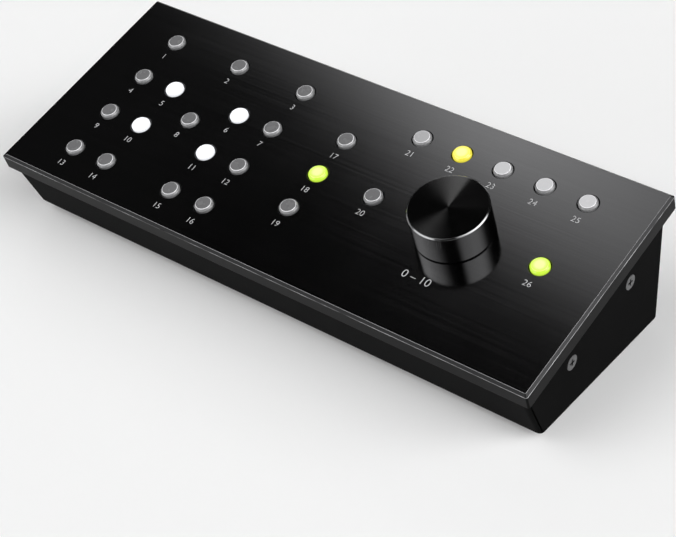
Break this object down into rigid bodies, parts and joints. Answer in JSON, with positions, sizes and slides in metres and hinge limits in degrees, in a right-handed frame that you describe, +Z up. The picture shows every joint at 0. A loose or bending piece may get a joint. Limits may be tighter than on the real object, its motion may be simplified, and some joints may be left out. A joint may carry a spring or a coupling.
{
  "type": "monitor control remote",
  "caption": "Desktop remote for an audio interface: wedge housing, tilted metal plate, lit round push buttons and one turned volume knob.",
  "frame": {"origin": "on the table under the middle of the remote, with the four rubber feet at z = 0", "axes": "+X to the right along the front edge, +Y to the back, +Z up"},
  "size_m": [0.25, 0.0956, 0.0637],
  "materials": {
    "black_anodised": "gloss black anodised, fine brushing along the width",
    "black_paint": "satin black powder coat",
    "black_rubber": "matt",
    "knob_metal": "turned, black anodised, with a bright bevelled edge",
    "dark_plastic": "moulded",
    "plain_steel": "zinc plated",
    "circuit_board": "green solder mask",
    "ribbon_grey": "flat cable",
    "cap_clear": "frosted clear, unlit",
    "cap_white": "frosted clear, lit white",
    "cap_green": "frosted clear, lit yellow-green",
    "cap_yellow": "frosted clear, lit yellow"
  },
  "bodies": {
    "root": {"housing_tray": "black_paint", "top_plate": "black_anodised", "foot_front_left": "black_rubber", "foot_front_right": "black_rubber", "foot_rear_left": "black_rubber", "foot_rear_right": "black_rubber", "side_bracket_left": "plain_steel", "side_bracket_right": "plain_steel", "side_screw_left_front": "plain_steel", "side_screw_left_rear": "plain_steel", "side_screw_right_front": "plain_steel", "side_screw_right_rear": "plain_steel", "switch_board": "circuit_board", "board_spacer_left_front": "plain_steel", "board_spacer_left_rear": "plain_steel", "board_spacer_right_front": "plain_steel", "board_spacer_right_rear": "plain_steel", "board_nut_left_front": "plain_steel", "board_nut_left_rear": "plain_steel", "board_nut_right_front": "plain_steel", "board_nut_right_rear": "plain_steel", "encoder_body": "dark_plastic", "encoder_washer": "plain_steel", "encoder_nut": "plain_steel", "usb_socket": "plain_steel", "usb_board": "circuit_board", "usb_standoff_left": "plain_steel", "usb_standoff_right": "plain_steel", "usb_screw_left": "plain_steel", "usb_screw_right": "plain_steel", "ribbon_cable": "ribbon_grey"},
    "volume": {"volume_knob": "knob_metal", "knob_insert": "dark_plastic", "encoder_shaft": "plain_steel"},
    "button_01": {"button_cap_01": "cap_clear"},
    "button_02": {"button_cap_02": "cap_clear"},
    "button_03": {"button_cap_03": "cap_clear"},
    "button_04": {"button_cap_04": "cap_clear"},
    "button_05": {"button_cap_05": "cap_white"},
    "button_06": {"button_cap_06": "cap_white"},
    "button_07": {"button_cap_07": "cap_clear"},
    "button_08": {"button_cap_08": "cap_clear"},
    "button_09": {"button_cap_09": "cap_clear"},
    "button_10": {"button_cap_10": "cap_white"},
    "button_11": {"button_cap_11": "cap_white"},
    "button_12": {"button_cap_12": "cap_clear"},
    "button_13": {"button_cap_13": "cap_clear"},
    "button_14": {"button_cap_14": "cap_clear"},
    "button_15": {"button_cap_15": "cap_clear"},
    "button_16": {"button_cap_16": "cap_clear"},
    "button_17": {"button_cap_17": "cap_clear"},
    "button_18": {"button_cap_18": "cap_green"},
    "button_19": {"button_cap_19": "cap_clear"},
    "button_20": {"button_cap_20": "cap_clear"},
    "button_21": {"button_cap_21": "cap_clear"},
    "button_22": {"button_cap_22": "cap_yellow"},
    "button_23": {"button_cap_23": "cap_clear"},
    "button_24": {"button_cap_24": "cap_clear"},
    "button_25": {"button_cap_25": "cap_clear"},
    "button_26": {"button_cap_26": "cap_green"}
  },
  "joints": [
    {"name": "volume_turn", "type": "hinge", "parent": "root", "child": "volume", "pos_m": [0.06288, -0.00141, 0.047], "axis": [0, -0.273, 0.962], "continuous": true},
    {"name": "button_01_press", "type": "slide", "parent": "root", "child": "button_01", "axis": [0, 0.273, -0.962], "range_m": [0, 0.0005], "stiffness_N_per_m": 400},
    {"name": "button_02_press", "type": "slide", "parent": "root", "child": "button_02", "axis": [0, 0.273, -0.962], "range_m": [0, 0.0005], "stiffness_N_per_m": 400},
    {"name": "button_03_press", "type": "slide", "parent": "root", "child": "button_03", "axis": [0, 0.273, -0.962], "range_m": [0, 0.0005], "stiffness_N_per_m": 400},
    {"name": "button_04_press", "type": "slide", "parent": "root", "child": "button_04", "axis": [0, 0.273, -0.962], "range_m": [0, 0.0005], "stiffness_N_per_m": 400},
    {"name": "button_05_press", "type": "slide", "parent": "root", "child": "button_05", "axis": [0, 0.273, -0.962], "range_m": [0, 0.0005], "stiffness_N_per_m": 400},
    {"name": "button_06_press", "type": "slide", "parent": "root", "child": "button_06", "axis": [0, 0.273, -0.962], "range_m": [0, 0.0005], "stiffness_N_per_m": 400},
    {"name": "button_07_press", "type": "slide", "parent": "root", "child": "button_07", "axis": [0, 0.273, -0.962], "range_m": [0, 0.0005], "stiffness_N_per_m": 400},
    {"name": "button_08_press", "type": "slide", "parent": "root", "child": "button_08", "axis": [0, 0.273, -0.962], "range_m": [0, 0.0005], "stiffness_N_per_m": 400},
    {"name": "button_09_press", "type": "slide", "parent": "root", "child": "button_09", "axis": [0, 0.273, -0.962], "range_m": [0, 0.0005], "stiffness_N_per_m": 400},
    {"name": "button_10_press", "type": "slide", "parent": "root", "child": "button_10", "axis": [0, 0.273, -0.962], "range_m": [0, 0.0005], "stiffness_N_per_m": 400},
    {"name": "button_11_press", "type": "slide", "parent": "root", "child": "button_11", "axis": [0, 0.273, -0.962], "range_m": [0, 0.0005], "stiffness_N_per_m": 400},
    {"name": "button_12_press", "type": "slide", "parent": "root", "child": "button_12", "axis": [0, 0.273, -0.962], "range_m": [0, 0.0005], "stiffness_N_per_m": 400},
    {"name": "button_13_press", "type": "slide", "parent": "root", "child": "button_13", "axis": [0, 0.273, -0.962], "range_m": [0, 0.0005], "stiffness_N_per_m": 400},
    {"name": "button_14_press", "type": "slide", "parent": "root", "child": "button_14", "axis": [0, 0.273, -0.962], "range_m": [0, 0.0005], "stiffness_N_per_m": 400},
    {"name": "button_15_press", "type": "slide", "parent": "root", "child": "button_15", "axis": [0, 0.273, -0.962], "range_m": [0, 0.0005], "stiffness_N_per_m": 400},
    {"name": "button_16_press", "type": "slide", "parent": "root", "child": "button_16", "axis": [0, 0.273, -0.962], "range_m": [0, 0.0005], "stiffness_N_per_m": 400},
    {"name": "button_17_press", "type": "slide", "parent": "root", "child": "button_17", "axis": [0, 0.273, -0.962], "range_m": [0, 0.0005], "stiffness_N_per_m": 400},
    {"name": "button_18_press", "type": "slide", "parent": "root", "child": "button_18", "axis": [0, 0.273, -0.962], "range_m": [0, 0.0005], "stiffness_N_per_m": 400},
    {"name": "button_19_press", "type": "slide", "parent": "root", "child": "button_19", "axis": [0, 0.273, -0.962], "range_m": [0, 0.0005], "stiffness_N_per_m": 400},
    {"name": "button_20_press", "type": "slide", "parent": "root", "child": "button_20", "axis": [0, 0.273, -0.962], "range_m": [0, 0.0005], "stiffness_N_per_m": 400},
    {"name": "button_21_press", "type": "slide", "parent": "root", "child": "button_21", "axis": [0, 0.273, -0.962], "range_m": [0, 0.0005], "stiffness_N_per_m": 400},
    {"name": "button_22_press", "type": "slide", "parent": "root", "child": "button_22", "axis": [0, 0.273, -0.962], "range_m": [0, 0.0005], "stiffness_N_per_m": 400},
    {"name": "button_23_press", "type": "slide", "parent": "root", "child": "button_23", "axis": [0, 0.273, -0.962], "range_m": [0, 0.0005], "stiffness_N_per_m": 400},
    {"name": "button_24_press", "type": "slide", "parent": "root", "child": "button_24", "axis": [0, 0.273, -0.962], "range_m": [0, 0.0005], "stiffness_N_per_m": 400},
    {"name": "button_25_press", "type": "slide", "parent": "root", "child": "button_25", "axis": [0, 0.273, -0.962], "range_m": [0, 0.0005], "stiffness_N_per_m": 400},
    {"name": "button_26_press", "type": "slide", "parent": "root", "child": "button_26", "axis": [0, 0.273, -0.962], "range_m": [0, 0.0005], "stiffness_N_per_m": 400}
  ]
}
